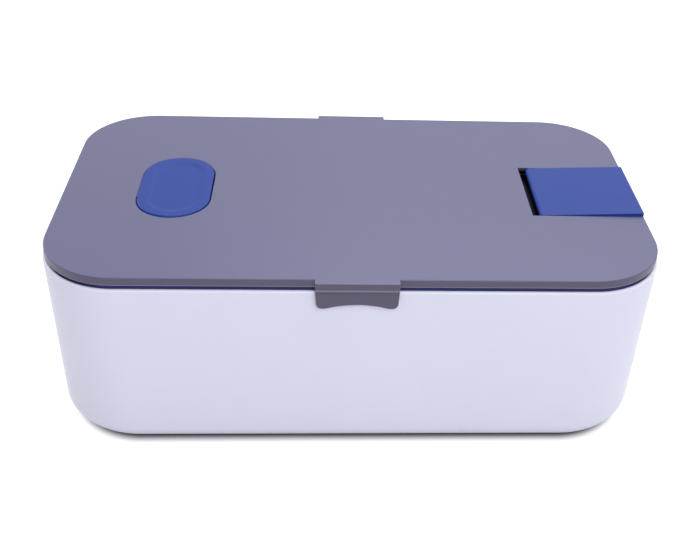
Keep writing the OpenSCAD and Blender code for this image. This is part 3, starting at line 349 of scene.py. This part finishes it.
def mouldedPlastic(name, changes):
    look = {**plasticLook, **changes}
    made, tree, shader = newMaterial(name)
    surface = useGroup(tree, mouldedSurface, look["surface"])
    color = spreadColor(tree, surface["Tone"], look["color"], look["spread"])
    if "side" in look:
        # painted light and shade: surfaces that face up get the lighter top colour, the walls a darker
        # side colour, standing in for the sheen on top and the shade on the walls
        up = axesOf(tree, coordinate(tree, "Normal"))["Z"]
        color = mixColor(tree, mapRange(tree, up, *look["upRange"], 0.0, 1.0), look["side"], color)
    # each zone paints a mark into the colour; on the lid these are painted highlights, painted shade and
    # the stress-whitened webs
    for zone in look["zones"]:
        mask = zoneMask(tree, zone)
        color = mixColor(tree, mask, color, zone["color"])
        if zone.get("paintedShadeNoGloss"):
            # for painted shade: takes the gloss away too, which a dark colour alone would leave
            tree.links.new(mask, shader.inputs["Metallic"])
    tree.links.new(color, shader.inputs["Base Color"])
    rough = mapRange(tree, surface["Rub"], 0, 1, *look["roughness"])
    tree.links.new(rough, shader.inputs["Roughness"])
    shader.inputs["Subsurface Weight"].default_value = look["depth"]
    shader.inputs["Subsurface Radius"].default_value = look["depthRadius"]
    shader.inputs["Subsurface Scale"].default_value = look["depthScale"]
    shader.inputs["Specular IOR Level"].default_value = look["specular"]
    addBump(tree, shader, surface["Height"], look["bump"], look["bumpDistance"])
    return made


metalLook = {
    "surface": {},
    "spread": 0.03,
    "marks": 0.15,
    "marksShade": 0.8,
    "marksRough": 0.06,
    "lineRange": (0.3, 0.7),
    "wave": 0.0,
    "bump": 0.15,
    "bumpDistance": 0.00003,
}


def bareMetal(name, changes):
    look = {**metalLook, **changes}
    made, tree, shader = newMaterial(name)
    surface = useGroup(tree, metalSurface, look["surface"])
    shader.inputs["Metallic"].default_value = 1.0
    color = spreadColor(tree, surface["Lines"], look["color"], look["spread"])
    worn = addMath(tree, "MULTIPLY", surface["Marks"], look["marks"])
    color = mixColor(tree, worn, color, shaded(look["color"], look["marksShade"]))
    tree.links.new(color, shader.inputs["Base Color"])
    rough = mapRange(tree, surface["Lines"], *look["lineRange"], *look["roughness"])
    rougher = addMath(tree, "MULTIPLY", surface["Marks"], look["marksRough"])
    tree.links.new(addMath(tree, "ADD", rough, rougher), shader.inputs["Roughness"])
    wave = addMath(tree, "MULTIPLY", surface["Wave"], look["wave"])
    height = addMath(tree, "ADD", surface["Lines"], wave)
    addBump(tree, shader, height, look["bump"], look["bumpDistance"])
    return made


def metalAndMoulding(name, look):
    # A drawn cap above and plated blades below a dark moulded body
    made, tree, shader = newMaterial(name)
    place = coordinate(tree)
    height = axesOf(tree, place)["Z"]
    low, high = look["bodyZ"]
    above = addMath(tree, "GREATER_THAN", height, high * mm)
    below = addMath(tree, "LESS_THAN", height, low * mm)
    metal = addMath(tree, "ADD", above, below)
    grain = noise(tree, place, *look["grain"])
    dark = spreadColor(tree, grain, look["body"], look["bodySpread"])
    bright = spreadColor(tree, grain, look["color"], look["spread"])
    tree.links.new(mixColor(tree, metal, dark, bright), shader.inputs["Base Color"])
    tree.links.new(metal, shader.inputs["Metallic"])
    rough = mapRange(tree, grain, *look["grainRange"], *look["roughness"])
    tree.links.new(rough, shader.inputs["Roughness"])
    return made


def wovenSleeve(name, look):
    # Two crossing sets of threads round the fuse
    made, tree, shader = newMaterial(name)
    place = coordinate(tree)
    threads = []
    for axis in look["axes"]:
        n = tree.nodes.new("ShaderNodeTexWave")
        n.bands_direction = axis
        n.inputs["Scale"].default_value = look["threadScale"]
        tree.links.new(place, n.inputs["Vector"])
        threads.append(n.outputs["Fac"])
    weave = addMath(tree, "MULTIPLY", *threads)
    color = mixColor(tree, weave, shaded(look["color"], look["shade"]), look["color"])
    tree.links.new(color, shader.inputs["Base Color"])
    shader.inputs["Roughness"].default_value = look["roughness"]
    addBump(tree, shader, weave, look["bump"], look["bumpDistance"])
    return made


def tintedLens(name, look):
    made, tree, shader = newMaterial(name)
    cloud = noise(tree, coordinate(tree), *look["cloud"])
    color = mixColor(tree, cloud, shaded(look["color"], look["shade"]), look["color"])
    tree.links.new(color, shader.inputs["Base Color"])
    rough = mapRange(tree, cloud, *look["cloudRange"], *look["roughness"])
    tree.links.new(rough, shader.inputs["Roughness"])
    shader.inputs["Transmission Weight"].default_value = look["clear"]
    shader.inputs["IOR"].default_value = look["ior"]
    return made


def atLatches(depth, height, rest):
    # The same zone at the front and the rear latch, depth being the distance from the middle plane
    near, far = depth
    spans = ((-far, -near), (near, far))
    return [{"box": ((-15.8, 15.8), span, height), **rest} for span in spans]


# colour of the painted highlight lines on the lid
paintedHighlightGrey = (0.45, 0.43, 0.52)

# Marks painted into the lid's colour: painted highlights, painted shade and the stress-whitened latch webs
lidZones = [
    # stress-whitened webs of the two latches, partly a painted highlight line along the hinge
    *atLatches((71.2, 72.2), (77.05, 77.5), {"soft": 0.12, "weight": 0.14, "color": (0.55, 0.53, 0.62)}),
    # painted highlight along the top edges of the two hinge blocks
    *atLatches((71.3, 72.0), (80.62, 81.1), {"soft": 0.1, "weight": 0.15, "color": paintedHighlightGrey}),
    # painted shade: the finger well beside the stand flap painted near-black and without gloss
    {"box": ((73.0, 84.5), (-22.6, 22.6), (74.0, 80.2)), "soft": 1.2,
        "weight": 0.97, "color": (0.003, 0.003, 0.005), "paintedShadeNoGloss": True},
    # painted shade on the slanted neck under each web
    *atLatches((71.0, 72.2), (75.7, 77.1), {"soft": 0.2, "weight": 0.6, "color": (0.02, 0.018, 0.032)}),
    # painted highlight along the lower edge of the lid's wall
    {"box": (None, None, (77.35, 78.05)), "soft": 0.15, "weight": 0.3, "color": paintedHighlightGrey},
]

finishes = {
    "shell": {"color": (0.82, 0.82, 0.98), "roughness": (0.32, 0.38), "depth": 0.15},
    "well": {"color": (0.60, 0.61, 0.70), "roughness": (0.42, 0.5)},
    "tray": {"make": bareMetal, "color": (0.66, 0.66, 0.67), "roughness": (0.16, 0.26),
        "surface": {"Line Scale": 900.0, "Stretch": 0.03}, "spread": 0.05, "marks": 0.12,
        "bump": 0.1, "bumpDistance": 0.00002},
    "cast_plate": {"make": bareMetal, "color": (0.60, 0.61, 0.62), "roughness": (0.42, 0.56),
        "surface": {"Line Scale": 500.0, "Stretch": 1.0}, "spread": 0.08, "marks": 0.3,
        "bump": 0.5, "bumpDistance": 0.00015},
    "element_case": {"make": bareMetal, "color": (0.50, 0.51, 0.54), "roughness": (0.36, 0.46),
        "marks": 0.2},
    "spring_steel": {"make": bareMetal, "color": (0.55, 0.55, 0.57), "roughness": (0.26, 0.36)},
    "thermostat": {"make": metalAndMoulding, "color": (0.6, 0.6, 0.6), "spread": 0.05,
        "body": (0.05, 0.045, 0.04), "bodySpread": 0.1, "bodyZ": (13.7, 18.2),
        "grain": (800.0, 3.0), "grainRange": (0.3, 0.7), "roughness": (0.28, 0.4)},
    "fuse_sleeve": {"make": wovenSleeve, "color": (0.8, 0.76, 0.62), "shade": 0.72,
        "roughness": 0.85, "threadScale": 260.0, "axes": ("X", "Z"),
        "bump": 0.6, "bumpDistance": 0.0002},
    "lead": {"color": (0.5, 0.03, 0.02), "roughness": (0.5, 0.6), "depth": 0.1},
    "shield": {"make": bareMetal, "color": (0.70, 0.70, 0.71), "roughness": (0.28, 0.38),
        "marks": 0.2, "wave": 4.0, "bumpDistance": 0.00005},
    "inlet": {"color": (0.02, 0.02, 0.025), "roughness": (0.4, 0.5)},
    "contact": {"make": bareMetal, "color": (0.80, 0.60, 0.28), "roughness": (0.2, 0.3),
        "surface": {"Line Scale": 1200.0, "Stretch": 1.0}},
    "lamp": {"make": tintedLens, "color": (0.9, 0.30, 0.08), "shade": 0.92,
        "cloud": (300.0, 2.0), "cloudRange": (0.3, 0.7), "roughness": (0.08, 0.14),
        "clear": 0.55, "ior": 1.49},
    "foot": {"color": (0.05, 0.05, 0.06), "roughness": (0.7, 0.8), "specular": 0.3,
        "surface": {"Grain Scale": 1500.0}},
    "screw": {"make": bareMetal, "color": (0.62, 0.62, 0.64), "roughness": (0.25, 0.35),
        "surface": {"Line Scale": 1500.0, "Stretch": 1.0}},
    # side: a darker colour painted on the lid's walls and latches, painted shade against the lighter top
    "lid_grey": {"color": (0.105, 0.104, 0.202), "side": (0.076, 0.066, 0.122),
        "roughness": (0.39, 0.405), "specular": 0.58, "zones": lidZones},
    "seal": {"color": (0.075, 0.08, 0.27), "roughness": (0.5, 0.6)},
    "blue_trim": {"color": (0.013, 0.044, 0.268), "roughness": (0.45, 0.47), "specular": 0.26},
    "plug": {"color": (0.8, 0.8, 0.82), "roughness": (0.5, 0.6)},
}
materials = {name: look.get("make", mouldedPlastic)(name, look) for name, look in finishes.items()}
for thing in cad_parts.values():
    for slot in thing.material_slots:
        slot.material = materials[slot.material.name.split(".")[0]]
print("lunch box: finishes made")

# White outer tub: one smooth loft in place of the faceted solid. Sizes are in mm.

tub = {
    "rim": (241.5, 139.5, 30.75), "rimZ": 76.0, "baseZ": 1.0,  # length, width and corner radius
    "midZ": (20, 35, 50, 60, 68),
    "draft": 1.4, "baseR": 34.0, "edgeR": 8.0,
    "wall": 2.8, "lip": 1.8, "ledgeZ": 70.3, "round": 0.86, "belowRound": 0.2,
    "ring": 4.0, "bevel": 3.0,
    "cover": (208.7, 106.7, 19.0), "opening": (198.7, 96.7, 14.0), "coverZ": 3.2,
    "notch": {"half": 24.0, "deep": 4.0, "low": 2.0, "flare": 1.2, "flatY": (0, 6, 12, 17), "lead": 1.5},
    "steps": {"corner": 20, "side": 8, "edge": 10, "round": 5, "low": 8, "flare": 6, "hole": 8},
    "bosses": (95.53, 44.53), "bossR": 3.8, "bossZ": (3.23, 11.7),
    "catch": {"x": (8.92, 13.2), "y": (68.7, 70.3), "z": (71.8, 73.0)},
    "frame": {"x": (38.5, 86.5), "y": (61.5, 65.9), "z": (4.0, 21.5)},
    "inlet": {"at": (70.0, 13.5), "size": (17.3, 10.3), "r": 2.15},
    "lamp": {"at": (45.0, 13.5), "r": 2.55},
    "holeY": (55.0, 75.0),
    "roundSides": 48, "sharp": 32.0,
}


def quarter(steps, start=0):
    # Angles of a quarter turn, both ends included
    return [math.radians(start + 90 * i / steps) for i in range(steps + 1)]


def levelPlan(t, z, inset):
    # Outline of the shell at a height, as length, width and corner radius
    length, width, r = t["rim"]
    k = (t["rimZ"] - z) / (t["rimZ"] - t["baseZ"])
    off = 2 * (t["draft"] * k + inset)
    return length - off, width - off, r + (t["baseR"] - r) * k - inset


def notchPath(n, steps):
    # Half of the notch from its middle outwards: y, depth, and the way into the material
    half, deep, low, flare = n["half"], n["deep"], n["low"], n["flare"]
    path = [(y, deep, 0.0, -1.0) for y in (*n["flatY"], half - low - n["lead"])]
    for a in quarter(steps["low"]):
        s, c = math.sin(a), math.cos(a)
        path.append((half - low + low * s, deep - low + low * c, s, -c))
    for a in quarter(steps["flare"]):
        s, c = math.sin(a), math.cos(a)
        path.append((half + flare - flare * c, flare - flare * s, c, -s))
    return path


def tubAnchors(t):
    # One entry per point around the rim: which straight or corner it is on, its share along that,
    # and, on the end walls, the notch's path
    steps = t["steps"]
    half = notchPath(t["notch"], steps)
    flat = t["rim"][1] / 2 - t["rim"][2]
    edge = half[-1][0]
    end = [(-y, d, -ny, nz) for y, d, ny, nz in reversed(half[1:])] + half
    ends = [(-flat, 0, 0.0, -1.0), (-(flat + edge) / 2, 0, 0.0, -1.0)] + end
    ends += [((flat + edge) / 2, 0, 0.0, -1.0), (flat, 0, 0.0, -1.0)]
    count = len(ends) - 1
    anchors = []
    for side in (1, -1):
        for i, (y, d, ny, nz) in enumerate(ends):
            share = 2 * i / count - 1
            anchors.append(("end", side, side * share, (side * y, d, side * ny, nz)))
        anchors += [("corner", side, a, None) for a in quarter(steps["corner"])[1:-1]]
        anchors += [("side", side, 1 - 2 * i / steps["side"], None) for i in range(steps["side"] + 1)]
        anchors += [("turn", side, a, None) for a in quarter(steps["corner"], 90)[1:-1]]
    return anchors


def anchorPlace(anchor, plan):
    kind, side, share, _ = anchor
    length, width, r = plan
    a, b = length / 2 - r, width / 2 - r
    if kind == "end":
        return side * length / 2, share * b
    if kind == "side":
        return side * share * a, side * width / 2
    x = (a if kind == "corner" else -a) + r * math.cos(share)
    return side * x, side * (b + r * math.sin(share))


def rimPlace(t, anchor, inset, drop, drafted):
    # A point near the rim; in a notch the edge rounding follows the notch's path
    path = anchor[3]
    z = t["rimZ"] - drop
    if path:
        y, deep, ny, nz = path
        z = t["rimZ"] - deep + drop * nz
    x, flatY = anchorPlace(anchor, levelPlan(t, z if drafted else t["rimZ"], inset))
    return (x, y + drop * ny, z) if path else (x, flatY, z)


def tubRings(t):
    # From the cover's opening outwards, up the outside, over the rim and down the inside
    anchors = tubAnchors(t)

    def levelRing(plan, z):
        return [(*anchorPlace(a, plan), z) for a in anchors]

    def rimRing(inset, drop, drafted):
        return [rimPlace(t, a, inset, drop, drafted) for a in anchors]

    levels = ((t["opening"], t["coverZ"]), (t["cover"], t["coverZ"]), (t["cover"], t["baseZ"]))
    rings = [levelRing(plan, z) for plan, z in levels]
    for turn in reversed(quarter(t["steps"]["edge"])):
        z = t["baseZ"] + t["edgeR"] * (1 - math.sin(turn))
        rings.append(levelRing(levelPlan(t, z, t["edgeR"] * (1 - math.cos(turn))), z))
    rings += [levelRing(levelPlan(t, z, 0), z) for z in t["midZ"]]
    soft, lip = t["round"], t["lip"]
    rings.append(rimRing(0, soft + t["belowRound"], True))
    for turn in quarter(t["steps"]["round"]):
        rings.append(rimRing(soft * (1 - math.cos(turn)), soft * (1 - math.sin(turn)), True))
    for turn in quarter(t["steps"]["round"]):
        rings.append(rimRing(lip - soft + soft * math.sin(turn), soft * (1 - math.cos(turn)), False))
    rings.append(levelRing(levelPlan(t, t["rimZ"], lip), t["ledgeZ"]))
    wall, bevel, floorZ = t["wall"], t["bevel"], t["baseZ"] + t["ring"]
    for z, inset in ((t["ledgeZ"], wall), (floorZ + bevel, wall), (floorZ, wall + bevel)):
        rings.append(levelRing(levelPlan(t, z, inset), z))
    rings.append(levelRing(t["opening"], floorZ))
    return rings


def joinRings(mesh, low, high):
    for j in range(len(low)):
        k = (j + 1) % len(low)
        mesh.faces.new((low[j], low[k], high[k], high[j]))


def closedLoft(rings):
    # Rings of equal length joined into a ring-shaped skin
    mesh = bmesh.new()
    rows = [[mesh.verts.new([c * mm for c in p]) for p in ring] for ring in rings]
    for i, row in enumerate(rows):
        joinRings(mesh, row, rows[(i + 1) % len(rows)])
    bmesh.ops.remove_doubles(mesh, verts=mesh.verts, dist=1e-7)
    bmesh.ops.recalc_face_normals(mesh, faces=mesh.faces)
    return mesh


def addBox(mesh, x, y, z):
    for v in bmesh.ops.create_cube(mesh, size=1)["verts"]:
        v.co = [mm * ((lo + hi) / 2 + c * (hi - lo)) for c, (lo, hi) in zip(v.co, (x, y, z))]


def addCylinder(mesh, middle, r, length, sides, turn=None):
    place = Matrix.Translation([c * mm for c in middle]) @ (turn or Matrix.Identity(4))
    bmesh.ops.create_cone(mesh, cap_ends=True, segments=sides, radius1=r * mm, radius2=r * mm,
        depth=length * mm, matrix=place)


def toObject(mesh, name, sharp):
    data = bpy.data.meshes.new(name)
    mesh.to_mesh(data)
    mesh.free()
    made = linkObject(name, data)
    for face in data.polygons:
        face.use_smooth = True
    data.set_sharp_from_angle(angle=math.radians(sharp))
    return made


def cutAway(thing, cutter, kind="DIFFERENCE"):
    # Applies a boolean and removes the cutter
    step = thing.modifiers.new("cut", "BOOLEAN")
    step.operation = kind
    step.solver = "EXACT"
    step.object = cutter
    shape = bpy.data.meshes.new_from_object(thing.evaluated_get(bpy.context.evaluated_depsgraph_get()))
    thing.modifiers.clear()
    old = thing.data
    thing.data = shape
    bpy.data.meshes.remove(old)
    data = cutter.data
    bpy.data.objects.remove(cutter)
    bpy.data.meshes.remove(data)


def tubFittings(t):
    # Screw bosses, catch ribs and the thick wall behind inlet and lamp
    mesh = bmesh.new()
    (lo, hi), (near, far) = t["catch"]["x"], t["catch"]["y"]
    low, high = t["bossZ"]
    for x in (-1, 1):
        for y in (-1, 1):
            middle = (x * t["bosses"][0], y * t["bosses"][1], (low + high) / 2)
            addCylinder(mesh, middle, t["bossR"], high - low, t["roundSides"])
            addBox(mesh, (x * lo, x * hi), (y * near, y * far), t["catch"]["z"])
    addBox(mesh, t["frame"]["x"], t["frame"]["y"], t["frame"]["z"])
    bmesh.ops.recalc_face_normals(mesh, faces=mesh.faces)
    return mesh


def tubHoles(t):
    # The round-cornered hole of the inlet and the lamp's round one, through the rear wall
    mesh = bmesh.new()
    (ix, iz), (w, h), r = t["inlet"]["at"], t["inlet"]["size"], t["inlet"]["r"]
    ring = []
    for q, (sx, sz) in enumerate(((1, 1), (-1, 1), (-1, -1), (1, -1))):
        for a in quarter(t["steps"]["hole"], 90 * q):
            ring.append((ix + sx * (w / 2 - r) + r * math.cos(a), iz + sz * (h / 2 - r) + r * math.sin(a)))
    front, back = ([mesh.verts.new((x * mm, y * mm, z * mm)) for x, z in ring] for y in t["holeY"])
    mesh.faces.new(front)
    mesh.faces.new(back)
    joinRings(mesh, front, back)
    (x, z), (near, far) = t["lamp"]["at"], t["holeY"]
    turn = Matrix.Rotation(math.radians(90), 4, "X")
    addCylinder(mesh, (x, (near + far) / 2, z), t["lamp"]["r"], far - near, t["roundSides"], turn)
    bmesh.ops.recalc_face_normals(mesh, faces=mesh.faces)
    return mesh


def makeTub(t):
    shell = toObject(closedLoft(tubRings(t)), "tub", t["sharp"])
    cutAway(shell, toObject(tubFittings(t), "tubExtra", t["sharp"]), "UNION")
    cutAway(shell, toObject(tubHoles(t), "tubHoles", t["sharp"]))
    shell.data.set_sharp_from_angle(angle=math.radians(t["sharp"]))
    shell.data.materials.clear()
    shell.data.materials.append(materials["shell"])
    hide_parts("base_shell")
    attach(shell, "box")


makeTub(tub)
print("lunch box: tub made")
